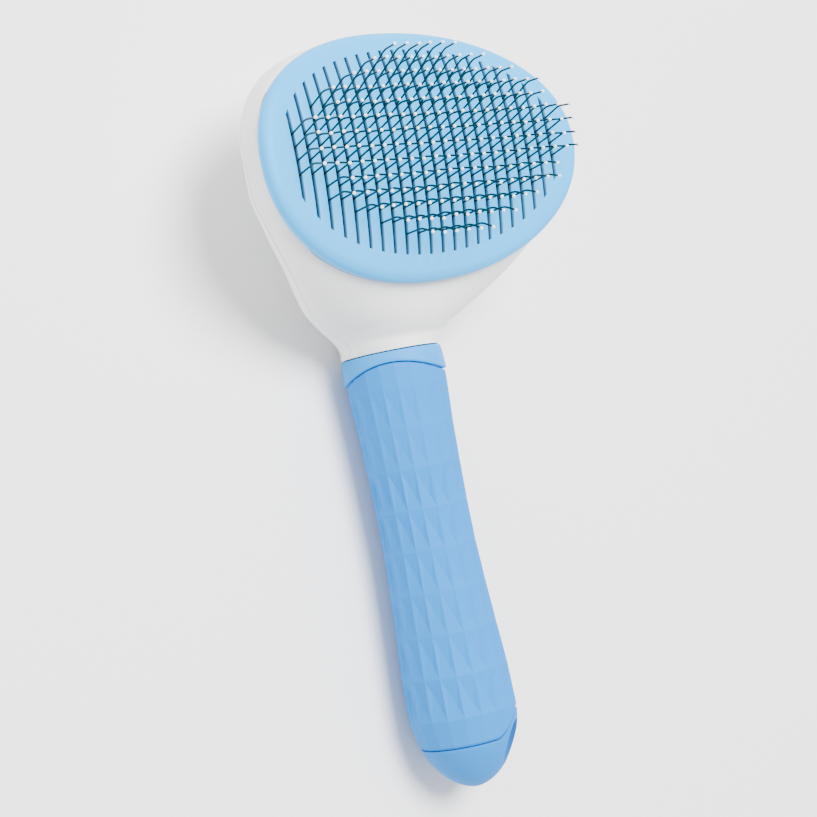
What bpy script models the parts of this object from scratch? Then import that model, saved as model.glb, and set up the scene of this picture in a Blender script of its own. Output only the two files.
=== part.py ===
"""Self-cleaning slicker brush, built as separate pieces.

The brush lies on its back: +X to the right, +Y from the handle to the head, +Z the way the pins point.
The origin is on the resting plane, under the middle of the brush's length and width.
All sizes below are millimetres; meshes are made in metres.
"""

import math

import bmesh
import bpy

MM = 0.001

# ---------------------------------------------------------------- driving dimensions
HEAD_Y = 65.3            # middle of the pin field, from the origin
CROWN_Z = 45.0           # top of the plate's crown over the resting plane
NECK_END_Y = -47.0       # where the neck meets the handle, from the middle of the pin field
AXIS_DROP = 30.8         # the handle's axis below the plate's crown

CROWN_RADIUS = 104.3     # the plate's curve along the brush
SADDLE = 0.00109         # rise of the plate towards its sides, per millimetre squared
PLATE_A, PLATE_B = 48.9, 31.8
PLATE_MID = -0.9
HEAD_SIDES = 36          # points round the head's ovals
OVAL = 2.11              # exponent of the head's ovals; 2 would be an ellipse
PLATE_THICK = 1.8
LIP_DEPTH = 4.3
GAP = 0.3                # clearance between touching pieces

SLOT_PITCH = 3.8
SLOT_COUNT = 22
SLOT_WIDTH = 1.1
SLOT_A, SLOT_B, SLOT_MID = 43.2, 25.95, -0.35

ROW_PITCH = 3.24
WIRES_HALF = (2, 2, 4, 4, 5, 5, 6, 6, 7, 7, 7)    # half the wires in each slot, from the side to the middle
WIRE_RADIUS = 0.3
LOWER_LEG, UPPER_LEG = 6.16, 4.32
LEAN, BEND, FAN = 0.2326, 0.4315, 1.22

BLADE_THICK = 0.8
BLADE_SINK = 4.0         # the blades' top edge below the plate's surface
BLADE_BOTTOM = -9.9
BOARD_TOP, BOARD_BOTTOM = -7.2, -11.2
BOARD_A, BOARD_B = 42.4, 26.6

SKIRT_A, SKIRT_B, SKIRT_WALL = 43.2, 27.2, 1.2
SKIRT_BOTTOM = -10.2
WALL = 2.0

LEG_X, LEG_Y, LEG_MID = 15.2, 7.0, -2.4
LEG_SIZE = (1.4, 7.0)
CARRIAGE_A, CARRIAGE_B = 17.8, 12.4
CARRIAGE_TOP, CARRIAGE_BOTTOM = -21.6, -23.8
SPRING_X, SPRING_Y = 6.5, 7.4
SPRING_RADIUS, SPRING_WIRE, SPRING_TURNS = 2.7, 0.35, 3.75

BUTTON_A, BUTTON_B, BUTTON_MID = 12.5, 10.0, -2.4
BUTTON_FACE, BUTTON_SLOPE = -42.6, 0.18

BOARD_SCREW = (34.8, 10.8)
SHELL_SCREW = (14.0, -36.0)
CORE_SCREW = (4.2, -42.0)
SHELL_SEAT, CORE_SEAT = -33.2, -41.4      # where the screw heads seat in the rear housing

CORE_RADIUS, TANG_RADIUS, GRIP_BORE = 9.0, 8.2, 9.3
TANG_LENGTH = 9.5
CORE_END = 94.2
HANDLE_END = 114.5
DOME_START, DOME_RADIUS, DOME_POWER = 95.0, 14.1, 1.8

# Housing sections: y, half width, front, seam, back, front exponent, back exponent
HOUSING = (
    (-47.0, 12.8, -18.05, -32.0, -43.55, 2.0, 2.0),
    (-44.5, 13.6, -18.0, -29.2, -43.9, 2.0, 2.0),
    (-42.0, 16.4, -15.6, -29.0, -41.7, 2.0, 2.0),
    (-39.0, 21.4, -13.0, -27.0, -39.7, 2.1, 2.0),
    (-35.0, 27.4, -10.1, -23.3, -37.6, 2.2, 2.0),
    (-30.0, 33.0, -6.9, -18.2, -35.4, 2.5, 1.9),
    (-24.0, 37.8, -3.5, -14.2, -33.1, 3.2, 1.8),
    (-15.0, 43.4, 0.0, -11.3, -31.1, 4.5, 1.7),
    (-5.0, 47.0, 2.0, -10.0, -30.0, 6.0, 1.6),
    (5.0, 47.1, 1.8, -9.7, -28.7, 6.0, 1.6),
    (15.0, 43.3, 0.8, -10.5, -26.9, 6.0, 1.6),
    (22.0, 36.8, -0.5, -11.3, -24.5, 5.0, 1.6),
    (27.0, 26.6, -2.1, -12.1, -21.9, 4.0, 1.7),
    (29.4, 14.4, -4.2, -13.0, -19.2, 3.0, 1.8),
    (30.2, 4.0, -8.2, -13.5, -17.0, 2.0, 2.0),
)

# The raised spine on the back that carries the button: y, half width, lowest level
SPINE = (
    (-46.0, 4.0, -42.5),
    (-43.5, 6.4, -44.5),
    (-41.5, 7.6, -45.0),
    (-29.0, 10.5, -45.0),
    (-23.0, 13.0, -43.2),
    (-15.0, 15.2, -39.6),
    (-6.0, 16.4, -37.2),
    (3.0, 15.8, -36.0),
    (9.0, 13.2, -34.6),
    (13.0, 9.6, -32.6),
    (15.5, 4.5, -29.5),
)
SPINE_PROFILE = ((1.0, 0.0), (0.97, 0.45), (0.86, 0.78), (0.68, 0.95), (0.45, 1.0))
SPINE_TOP = -24.0

WHITE = ("white_plastic", (0.79, 0.79, 0.78), 0.35, 0.0)
BLUE = ("blue_plastic", (0.34, 0.66, 0.95), 0.35, 0.0)
GRIP_BLUE = ("grip_rubber", (0.19, 0.50, 0.87), 0.6, 0.0)
GREY = ("inner_plastic", (0.35, 0.36, 0.38), 0.5, 0.0)
STEEL = ("steel_wire", (0.30, 0.33, 0.36), 0.3, 1.0)
SCREW_STEEL = ("screw_steel", (0.55, 0.55, 0.57), 0.35, 1.0)


# ---------------------------------------------------------------- scene and mesh helpers
def clear_scene():
    for old in list(bpy.data.objects):
        bpy.data.objects.remove(old, do_unlink=True)


def finish(spec):
    name, colour, roughness, metallic = spec
    made = bpy.data.materials.get(name)
    if made:
        return made
    made = bpy.data.materials.new(name)
    made.use_nodes = True
    shader = made.node_tree.nodes["Principled BSDF"]
    shader.inputs["Base Color"].default_value = (*colour, 1.0)
    shader.inputs["Roughness"].default_value = roughness
    shader.inputs["Metallic"].default_value = metallic
    return made


def empty(name, y, z):
    made = bpy.data.objects.new(name, None)
    made.location = (0.0, y * MM, z * MM)
    bpy.context.collection.objects.link(made)
    return made


def make(name, shells, spec, parent, smooth=True):
    """One object from a list of (points, faces) shells, its points in millimetres."""
    points, faces = [], []
    for shell_points, shell_faces in shells:
        base = len(points)
        points += [tuple(c * MM for c in p) for p in shell_points]
        faces += [tuple(base + i for i in face) for face in shell_faces]
    mesh = bpy.data.meshes.new(name)
    mesh.from_pydata(points, [], faces)
    shape = bmesh.new()
    shape.from_mesh(mesh)
    bmesh.ops.recalc_face_normals(shape, faces=shape.faces)
    shape.to_mesh(mesh)
    shape.free()
    if smooth:
        mesh.shade_smooth()
        mesh.set_sharp_from_angle(angle=math.radians(32))
    made = bpy.data.objects.new(name, mesh)
    bpy.context.collection.objects.link(made)
    made.parent = parent
    if spec:
        made.data.materials.append(finish(spec))
    return made


def guide(name, shells, parent):
    made = make(name, shells, None, parent, smooth=False)
    made.hide_render = True
    made.display_type = "WIRE"
    return made


def combine(target, tool, operation):
    step = target.modifiers.new(operation.lower() + "_" + tool.name, "BOOLEAN")
    step.object = tool
    step.operation = operation
    step.solver = "EXACT"


def loft(rings):
    """A closed skin through equal rings, with a flat cap on the first and last."""
    count = len(rings[0])
    points = [p for ring in rings for p in ring]
    faces = [tuple(range(count - 1, -1, -1))]
    for level in range(len(rings) - 1):
        low = level * count
        for i in range(count):
            j = (i + 1) % count
            faces.append((low + i, low + j, low + count + j, low + count + i))
    last = (len(rings) - 1) * count
    faces.append(tuple(range(last, last + count)))
    return points, faces


def superellipse(a, b, power, count, x=0.0, y=0.0):
    outline = []
    for i in range(count):
        turn = 2.0 * math.pi * i / count
        c, s = math.cos(turn), math.sin(turn)
        outline.append((
            x + a * math.copysign(abs(c) ** (2.0 / power), c),
            y + b * math.copysign(abs(s) ** (2.0 / power), s),
        ))
    return outline


def prism(outline, low, high):
    return loft([[(x, y, low) for x, y in outline], [(x, y, high) for x, y in outline]])


def cylinder(x, y, radius, low, high, sides=10):
    return prism(superellipse(radius, radius, 2.0, sides, x, y), low, high)


def box(x, y, size_x, size_y, low, high):
    half_x, half_y = size_x / 2.0, size_y / 2.0
    corners = ((-half_x, -half_y), (half_x, -half_y), (half_x, half_y), (-half_x, half_y))
    outline = [(x + dx, y + dy) for dx, dy in corners]
    return prism(outline, low, high)


def mirrored(x, y):
    return ((x, y), (-x, y))


def quartered(x, y, middle):
    return ((x, middle + y), (-x, middle + y), (x, middle - y), (-x, middle - y))


# ---------------------------------------------------------------- the plate's curved surface
def drop(y):
    return CROWN_RADIUS - math.sqrt(CROWN_RADIUS ** 2 - y ** 2)


def surface(x, y):
    return SADDLE * x * x - drop(y)


def curved_ring(a, b, depth, count=HEAD_SIDES):
    ring = superellipse(a, b, OVAL, count, 0.0, PLATE_MID)
    return [(x, y, surface(x, y) - depth) for x, y in ring]


def oval_reach(x, a, b):
    return b * (1.0 - min(1.0, abs(x) / a) ** OVAL) ** (1.0 / OVAL)


def slot_x(index):
    return (index - (SLOT_COUNT - 1) / 2.0) * SLOT_PITCH


# ---------------------------------------------------------------- cleaning plate
def slot_cutters():
    cutters = []
    radius = SLOT_WIDTH / 2.0
    for index in range(SLOT_COUNT):
        x = slot_x(index)
        reach = oval_reach(x, SLOT_A, SLOT_B)
        outline = []
        for end in (1, -1):
            centre = SLOT_MID + end * (reach - radius)
            for turn in (0.0, 90.0, 180.0):
                angle = math.radians(turn)
                outline.append((x + end * radius * math.cos(angle), centre + end * radius * math.sin(angle)))
        cutters.append(prism(outline, -9.0, 9.0))
    return cutters


def cleaning_plate(parent):
    underside = PLATE_THICK
    rings = []
    for scale in (0.04, 0.5):
        rings.append(curved_ring(PLATE_A * scale, PLATE_B * scale, 0.0))
    lip = ((2.7, 0.0), (0.9, 0.5), (0.1, 1.6), (0.76, LIP_DEPTH), (1.9, LIP_DEPTH), (2.6, underside))
    for inset, depth in lip:
        rings.append(curved_ring(PLATE_A - inset, PLATE_B - inset, depth))
    for scale in (0.5, 0.04):
        rings.append(curved_ring(PLATE_A * scale, PLATE_B * scale, underside))
    plate = make("cleaning_plate", [loft(rings)], BLUE, parent)
    combine(plate, guide("cut_slots", slot_cutters(), parent), "DIFFERENCE")

    outer = superellipse(SKIRT_A + SKIRT_WALL, SKIRT_B + SKIRT_WALL, OVAL, HEAD_SIDES, 0.0, PLATE_MID)
    inner = superellipse(SKIRT_A, SKIRT_B, OVAL, HEAD_SIDES, 0.0, PLATE_MID)
    top = [surface(x, y) - underside / 2.0 for x, y in outer]
    skirt = loft([
        [(x, y, SKIRT_BOTTOM) for x, y in inner],
        [(x, y, SKIRT_BOTTOM) for x, y in outer],
        [(x, y, z) for (x, y), z in zip(outer, top)],
        [(x, y, z) for (x, y), z in zip(inner, top)],
    ])
    combine(plate, guide("add_skirt", [ring_skin(skirt, HEAD_SIDES)], parent), "UNION")

    legs = []
    for x, y in quartered(LEG_X, LEG_Y, LEG_MID):
        legs.append(box(x, y, *LEG_SIZE, CARRIAGE_BOTTOM + 0.5, surface(x, y) - underside / 2.0 - 0.3))
    combine(plate, guide("add_legs", legs, parent), "UNION")
    return plate


def ring_skin(lofted, count):
    """Turn a capped loft whose last ring faces its first into a closed tube wall."""
    points, faces = lofted
    walls = faces[1:-1]
    last = len(points) - count
    for i in range(count):
        j = (i + 1) % count
        walls.append((last + i, last + j, j, i))
    return points, walls


# ---------------------------------------------------------------- pins and their board
def row_positions(index):
    half = WIRES_HALF[min(index, SLOT_COUNT - 1 - index)]
    return [(k + 0.5) * ROW_PITCH for k in range(-half, half)]


def wire_points(x, arc):
    """Root, knee and tip of one wire, and its root under the plate."""
    angle = arc / CROWN_RADIUS
    y = CROWN_RADIUS * math.sin(angle)
    z = surface(x, y)
    lean = angle * FAN + LEAN
    bend = lean - BEND
    knee = (y + LOWER_LEG * math.sin(lean), z + LOWER_LEG * math.cos(lean))
    tip = (knee[0] + UPPER_LEG * math.sin(bend), knee[1] + UPPER_LEG * math.cos(bend))
    sunk = z + drop(y) + BLADE_SINK + 1.2
    root = (y - sunk * math.tan(lean), z - sunk)
    return root, knee, tip


def wire(x, root, knee, tip):
    rings = []
    for (y, z) in (root, knee, tip):
        rings.append([
            (x + WIRE_RADIUS * math.cos(turn), y + WIRE_RADIUS * math.sin(turn), z)
            for turn in (math.radians(a) for a in (90, 210, 330))
        ])
    return loft(rings)


def blade_span(index):
    roots = [wire_points(slot_x(index), arc)[0][0] for arc in row_positions(index)]
    return min(roots) - 1.2, max(roots) + 1.2


def blade(index):
    x = slot_x(index)
    low, high = blade_span(index)
    steps = 4
    tops = []
    for step in range(steps + 1):
        y = low + (high - low) * step / steps
        tops.append((y, -BLADE_SINK - drop(y)))
    side = [(low, BLADE_BOTTOM)] + tops + [(high, BLADE_BOTTOM)]
    half = BLADE_THICK / 2.0
    return loft([[(x - half, y, z) for y, z in side], [(x + half, y, z) for y, z in side]])


def pin_rows(parent):
    for index in range(SLOT_COUNT):
        x = slot_x(index)
        row = make(f"pin_row_{index + 1:02d}", [blade(index)], STEEL, parent)
        wires = [wire(x, *wire_points(x, arc)) for arc in row_positions(index)]
        combine(row, guide(f"add_wires_{index + 1:02d}", wires, parent), "UNION")


def pin_board(parent):
    outline = superellipse(BOARD_A, BOARD_B, OVAL, HEAD_SIDES, 0.0, PLATE_MID)
    board = make("pin_board", [prism(outline, BOARD_BOTTOM, BOARD_TOP)], GREY, parent)
    cuts = []
    for index in range(SLOT_COUNT):
        low, high = blade_span(index)
        length = high - low + 2 * GAP
        middle = (low + high) / 2.0
        cuts.append(box(slot_x(index), middle, BLADE_THICK + 2 * GAP, length, BLADE_BOTTOM - GAP, 0.0))
    for x, y in quartered(LEG_X, LEG_Y, LEG_MID):
        cuts.append(box(x, y, LEG_SIZE[0] + 2 * GAP, LEG_SIZE[1] + 2 * GAP, -20.0, 0.0))
    for x, y in quartered(*BOARD_SCREW, PLATE_MID):
        cuts.append(cylinder(x, y, 1.3, -20.0, 0.0, 8))
    combine(board, guide("cut_board", cuts, parent), "DIFFERENCE")
    return board


# ---------------------------------------------------------------- housing
def section(y, width, front, seam, back, front_power, back_power, count=28):
    ring = []
    for i in range(count):
        turn = 2.0 * math.pi * i / count
        c, s = math.cos(turn), math.sin(turn)
        power = front_power if s >= 0 else back_power
        height = front - seam if s >= 0 else seam - back
        x = width * math.copysign(abs(c) ** (2.0 / power), c)
        z = seam + height * math.copysign(abs(s) ** (2.0 / power), s)
        ring.append((x, y, z))
    return ring


def outer_skin():
    return loft([section(*row) for row in HOUSING])


def spine():
    """The solid ridge along the back, its flat lowest band lying on the resting plane."""
    rings = []
    for y, width, low in SPINE:
        side = [(width * part, SPINE_TOP + (low - SPINE_TOP) * depth) for part, depth in SPINE_PROFILE]
        rings.append([(x, y, z) for x, z in side] + [(-x, y, z) for x, z in reversed(side)])
    return loft(rings)


def tang_room(gap):
    """Clearance for the handle core's tang inside the neck."""
    radius = TANG_RADIUS + gap
    rings = []
    for y in (NECK_END_Y - 1.0, NECK_END_Y + TANG_LENGTH + gap):
        ring = superellipse(radius, radius, 2.0, 24)
        rings.append([(x, y, z - AXIS_DROP) for x, z in ring])
    return loft(rings)


def inner_skin():
    """The cavity: the outer sections pulled in by the wall, and run out through the neck's end."""
    rings = []
    top = HOUSING[-1][0]
    for y, width, front, seam, back, front_power, back_power in HOUSING[:-1]:
        shrink = 1.0 - WALL / (top - PLATE_MID)
        inner_y = PLATE_MID + (y - PLATE_MID) * shrink if y > PLATE_MID else y
        inner_front = min(front - WALL, -LIP_DEPTH - GAP - WALL - drop(min(30.0, abs(y))))
        inner_front = max(inner_front, seam + 0.8)
        rings.append(section(inner_y, width - WALL, inner_front, seam, back + WALL, front_power, back_power))
    neck = [(x, y - 4.0, z) for x, y, z in rings[0]]
    return loft([neck] + rings)


def seam_block(offset, limit):
    """Everything on one side of the seam, from the seam's line to a limit."""
    reach = 70.0
    line = [(-60.0, HOUSING[0][3])] + [(row[0], row[3]) for row in HOUSING] + [(45.0, HOUSING[-1][3])]
    side = [(y, z + offset) for y, z in line] + [(45.0, limit), (-60.0, limit)]
    return loft([[(-reach, y, z) for y, z in side], [(reach, y, z) for y, z in side]])


def seat_cutter():
    """Clears the housing above the plate's lip."""
    rings = []
    for scale in (0.05, 0.5, 1.0):
        rings.append(curved_ring((PLATE_A + 1.2) * scale, (PLATE_B + 1.2) * scale, LIP_DEPTH + GAP))
    rings.append([(x, y, 20.0) for x, y, z in rings[-1]])
    return loft(rings)


def cavity(name, bosses, parent):
    """The inner space, less the bosses that stand in it, with room for the handle core's tang."""
    space = guide(name, [inner_skin()], parent)
    combine(space, guide(name + "_tang", [tang_room(GAP)], parent), "UNION")
    posts = guide(name + "_bosses", bosses, parent)
    combine(posts, guide(name + "_boss_ends", [tang_room(2 * GAP)], parent), "DIFFERENCE")
    combine(space, posts, "DIFFERENCE")
    return space


def front_housing(parent):
    shell = make("front_housing", [outer_skin()], WHITE, parent)
    bosses = [cylinder(x, y, 3.4, -60.0, 10.0) for x, y in mirrored(*SHELL_SCREW)]
    bosses += [cylinder(x, y, 3.2, -60.0, 10.0) for x, y in mirrored(*CORE_SCREW)]
    combine(shell, cavity("front_cavity", bosses, parent), "DIFFERENCE")
    combine(shell, guide("cut_below_seam", [seam_block(GAP / 2.0, -70.0)], parent), "DIFFERENCE")
    spare = SKIRT_WALL + GAP
    opening = superellipse(SKIRT_A + spare, SKIRT_B + spare, OVAL, HEAD_SIDES, 0.0, PLATE_MID)
    combine(shell, guide("cut_opening", [prism(opening, -16.0, 30.0)], parent), "DIFFERENCE")
    combine(shell, guide("cut_seat", [seat_cutter()], parent), "DIFFERENCE")
    holes = [cylinder(x, y, 1.5, -50.0, -17.0, 8) for x, y in mirrored(*SHELL_SCREW)]
    holes += [cylinder(x, y, 1.4, -50.0, -18.8, 8) for x, y in mirrored(*CORE_SCREW)]
    combine(shell, guide("cut_front_holes", holes, parent), "DIFFERENCE")
    return shell


def rear_housing(parent):
    shell = make("rear_housing", [outer_skin()], WHITE, parent)
    combine(shell, guide("add_spine", [spine()], parent), "UNION")
    bosses = [cylinder(x, y, 2.6, -60.0, BOARD_BOTTOM - GAP) for x, y in quartered(*BOARD_SCREW, PLATE_MID)]
    bosses += [cylinder(x, y, 3.4, -60.0, 10.0) for x, y in mirrored(*SHELL_SCREW)]
    bosses += [cylinder(x, y, 3.2, -60.0, 10.0) for x, y in mirrored(*CORE_SCREW)]
    collar = superellipse(BUTTON_A + GAP + 2.0, BUTTON_B + GAP + 2.0, 2.4, 32, 0.0, BUTTON_MID)
    bosses.append(prism(collar, -60.0, CARRIAGE_BOTTOM - GAP))
    combine(shell, cavity("rear_cavity", bosses, parent), "DIFFERENCE")
    combine(shell, guide("cut_above_seam", [seam_block(-GAP / 2.0, 40.0)], parent), "DIFFERENCE")
    cuts = [cylinder(x, y, 1.3, -18.5, 0.0, 8) for x, y in quartered(*BOARD_SCREW, PLATE_MID)]
    for (x, y), seat, head, shank in (
        *((place, SHELL_SEAT, 2.6, 1.5) for place in mirrored(*SHELL_SCREW)),
        *((place, CORE_SEAT, 2.4, 1.4) for place in mirrored(*CORE_SCREW)),
    ):
        narrow = superellipse(shank, shank, 2.0, 8, x, y)
        wide = superellipse(head, head, 2.0, 8, x, y)
        cuts.append(loft([
            [(px, py, -60.0) for px, py in wide],
            [(px, py, seat) for px, py in wide],
            [(px, py, seat) for px, py in narrow],
            [(px, py, 0.0) for px, py in narrow],
        ]))
    hole = superellipse(BUTTON_A + GAP, BUTTON_B + GAP, 2.4, 32, 0.0, BUTTON_MID)
    cuts.append(prism(hole, -60.0, -20.0))
    combine(shell, guide("cut_rear_holes", cuts, parent), "DIFFERENCE")
    return shell


# ---------------------------------------------------------------- ejector
def ejector_carriage(parent):
    outline = superellipse(CARRIAGE_A, CARRIAGE_B, 4.0, 28, 0.0, LEG_MID)
    carriage = make("ejector_carriage", [prism(outline, CARRIAGE_BOTTOM, CARRIAGE_TOP)], GREY, parent)
    studs = [
        cylinder(x, y, 1.8, CARRIAGE_TOP - 1.0, CARRIAGE_TOP + 1.8, 8)
        for x, y in quartered(SPRING_X, SPRING_Y, LEG_MID)
    ]
    combine(carriage, guide("add_studs", studs, parent), "UNION")
    cuts = []
    for x, y in quartered(LEG_X, LEG_Y, LEG_MID):
        cuts.append(box(x, y, LEG_SIZE[0] + 2 * GAP, LEG_SIZE[1] + 2 * GAP, -30.0, -20.0))
    cuts.append(cylinder(0.0, BUTTON_MID, 1.5, -30.0, -20.0, 8))
    combine(carriage, guide("cut_carriage", cuts, parent), "DIFFERENCE")
    return carriage


def push_button(parent):
    def level(inset, height):
        ring = superellipse(BUTTON_A - inset, BUTTON_B - inset, 2.4, 32, 0.0, BUTTON_MID)
        return [(x, y, BUTTON_FACE + BUTTON_SLOPE * (y - BUTTON_MID) + height) for x, y in ring]

    def flat(inset, z):
        outline = superellipse(BUTTON_A - inset, BUTTON_B - inset, 2.4, 32, 0.0, BUTTON_MID)
        return [(x, y, z) for x, y in outline]

    top = CARRIAGE_BOTTOM - GAP
    rings = [level(8.0, 0.9), level(4.0, 0.5), level(1.4, 0.0), level(0.4, 0.5), level(0.0, 1.6)]
    rings += [flat(0.0, top), flat(1.8, top), level(1.8, 3.2)]
    button = make("push_button", [loft(rings)], BLUE, parent)
    boss = cylinder(0.0, BUTTON_MID, 3.2, BUTTON_FACE + 2.2, top)
    combine(button, guide("add_button_boss", [boss], parent), "UNION")
    bore = cylinder(0.0, BUTTON_MID, 1.5, -35.0, -20.0, 8)
    combine(button, guide("cut_button_bore", [bore], parent), "DIFFERENCE")
    return button


def spring(name, x, y, parent):
    per_turn, sides = 8, 3
    low, high = CARRIAGE_TOP + GAP + SPRING_WIRE, BOARD_BOTTOM - GAP - SPRING_WIRE
    steps = int(SPRING_TURNS * per_turn)
    rings = []
    for step in range(steps + 1):
        turn = 2.0 * math.pi * step / per_turn
        z = low + (high - low) * step / steps
        ring = []
        for side in range(sides):
            angle = 2.0 * math.pi * side / sides
            radius = SPRING_RADIUS + SPRING_WIRE * math.cos(angle)
            height = z + SPRING_WIRE * math.sin(angle)
            ring.append((x + radius * math.cos(turn), y + radius * math.sin(turn), height))
        rings.append(ring)
    return make(name, [loft(rings)], SCREW_STEEL, parent)


def screw(name, x, y, seat, tip, head_radius, shank_radius, head_height, parent):
    """A pan-head screw: the head stands beyond the seat, the shank runs to the tip."""
    away = 1.0 if seat > tip else -1.0
    levels = (
        (head_radius * 0.7, seat + away * head_height),
        (head_radius, seat + away * head_height * 0.6),
        (head_radius, seat),
        (shank_radius, seat),
        (shank_radius, tip + away),
        (shank_radius * 0.4, tip),
    )
    rings = [[(px, py, z) for px, py in superellipse(radius, radius, 2.0, 8, x, y)] for radius, z in levels]
    return make(name, [loft(rings)], SCREW_STEEL, parent)


# ---------------------------------------------------------------- handle
def handle_ring(radius, along, count=24):
    """A ring round the handle's axis; radius and along may depend on the angle from +Z."""
    ring = []
    for i in range(count):
        angle = 2.0 * math.pi * i / count
        s = along(angle) if callable(along) else along
        r = radius(s) if callable(radius) else radius
        ring.append((r * math.sin(angle), -s, r * math.cos(angle)))
    return ring


def collar_edge(angle):
    return 4.9 - 1.8 * math.cos(2.0 * (angle + math.radians(42.0)))


def cap_edge(angle):
    """The cap's edge: level round most of the handle, raised over the hang slot's side."""
    turn = math.degrees(angle) % 360.0
    if turn >= 180.0:
        return 102.5
    rise = min(1.0, min(turn, 180.0 - turn) / 45.0)
    return 102.5 - 6.0 * rise * rise * (3.0 - 2.0 * rise)


def grip_radius(s):
    """Waisted grip that swells to the end and closes in a dome."""
    if s >= DOME_START:
        part = min(1.0, (s - DOME_START) / (HANDLE_END - DOME_START))
        return DOME_RADIUS * (1.0 - part ** DOME_POWER) ** (1.0 / DOME_POWER)
    stations = (
        (0.0, 13.3), (8.0, 13.1), (20.0, 12.5), (46.0, 12.0), (72.0, 13.1), (84.0, 13.9), (95.0, 14.1),
    )
    for (s0, r0), (s1, r1) in zip(stations, stations[1:]):
        if s <= s1:
            part = max(0.0, (s - s0) / (s1 - s0))
            return r0 + (r1 - r0) * part * part * (3.0 - 2.0 * part)
    return DOME_RADIUS


def collar_ring(parent):
    rings = [
        handle_ring(GRIP_BORE, GAP),
        handle_ring(12.9, GAP),
        handle_ring(13.5, 1.1),
        handle_ring(13.6, collar_edge),
        handle_ring(GRIP_BORE, collar_edge),
    ]
    return make("collar_ring", [ring_skin(loft(rings), 24)], BLUE, parent)


def handle_grip(parent):
    def start(angle):
        return collar_edge(angle) + 0.5

    def end(angle):
        return cap_edge(angle) - 0.5

    rings = [handle_ring(GRIP_BORE, start), handle_ring(grip_radius, start)]
    for s in (14.0, 24.0, 35.0, 46.0, 57.0, 68.0, 78.0, 88.0):
        rings.append(handle_ring(grip_radius, s))
    rings += [handle_ring(grip_radius, end), handle_ring(GRIP_BORE, end)]
    return make("handle_grip", [ring_skin(loft(rings), 24)], GRIP_BLUE, parent, smooth=False)


def handle_core(parent):
    rings = [
        handle_ring(TANG_RADIUS, -TANG_LENGTH),
        handle_ring(TANG_RADIUS, -0.5),
        handle_ring(CORE_RADIUS, 0.3),
        handle_ring(CORE_RADIUS, CORE_END),
        handle_ring(4.8, CORE_END),
        handle_ring(4.8, CORE_END - 9.2),
    ]
    core = make("handle_core", [loft(rings)], GREY, parent)
    holes = [
        cylinder(x, y - NECK_END_Y, 1.4, -15.0, 15.0, 8) for x, y in mirrored(*CORE_SCREW)
    ]
    combine(core, guide("cut_tang", holes, parent), "DIFFERENCE")
    return core


def hang_slot():
    """An oval hole from front to back, near the cap's right side and in line with its edge."""
    middle_x, middle_s, half_long, half_wide = 6.7, 104.5, 5.9, 3.1
    tilt = math.radians(22.2)
    outline = []
    for x, y in superellipse(half_wide, half_long, 2.0, 16):
        turned_x = x * math.cos(tilt) + y * math.sin(tilt)
        turned_y = y * math.cos(tilt) - x * math.sin(tilt)
        outline.append((middle_x + turned_x, turned_y - middle_s))
    return prism(outline, -20.0, 20.0)


def end_cap(parent):
    def between(part):
        return lambda angle: HANDLE_END - 0.15 + (cap_edge(angle) - HANDLE_END + 0.15) * part

    rings = []
    for part in (0.0, 0.08, 0.22, 0.45, 0.72, 1.0):
        rings.append(handle_ring(grip_radius, between(part)))
    rings += [handle_ring(CORE_RADIUS, cap_edge), handle_ring(CORE_RADIUS, CORE_END + GAP)]
    rings += [handle_ring(4.5, CORE_END + GAP), handle_ring(4.5, CORE_END - 8.0)]
    cap = make("end_cap", [loft(rings)], GRIP_BLUE, parent)
    combine(cap, guide("cut_hang_slot", [hang_slot()], parent), "DIFFERENCE")
    return cap


# ---------------------------------------------------------------- assembly
def build():
    clear_scene()
    head = empty("head_frame", HEAD_Y, CROWN_Z)
    ejector = empty("ejector_frame", HEAD_Y, CROWN_Z)
    handle = empty("handle_frame", HEAD_Y + NECK_END_Y, CROWN_Z - AXIS_DROP)

    front_housing(head)
    rear_housing(head)
    pin_board(head)
    pin_rows(head)

    cleaning_plate(ejector)
    ejector_carriage(ejector)
    push_button(ejector)
    screw("button_screw", 0.0, BUTTON_MID, CARRIAGE_TOP + GAP, -33.5, 2.4, 1.2, 1.6, ejector)
    for number, (x, y) in enumerate(quartered(SPRING_X, SPRING_Y, LEG_MID), 1):
        spring(f"return_spring_{number}", x, y, ejector)

    for number, (x, y) in enumerate(quartered(*BOARD_SCREW, PLATE_MID), 1):
        screw(f"board_screw_{number}", x, y, BOARD_TOP + GAP, -17.5, 1.7, 1.0, 1.4, head)
    for number, (x, y) in enumerate(mirrored(*SHELL_SCREW), 1):
        screw(f"shell_screw_{number}", x, y, SHELL_SEAT - GAP, -18.0, 2.2, 1.2, 1.4, head)
    for number, (x, y) in enumerate(mirrored(*CORE_SCREW), 1):
        screw(f"core_screw_{number}", x, y, CORE_SEAT - GAP, -20.0, 2.0, 1.1, 1.4, head)

    collar_ring(handle)
    handle_grip(handle)
    handle_core(handle)
    end_cap(handle)


build()
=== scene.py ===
"""The look of the self-cleaning slicker brush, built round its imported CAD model."""

import math

import bmesh
import bpy
import numpy as np
from mathutils import Matrix, Vector
from mathutils.geometry import delaunay_2d_cdt


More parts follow.
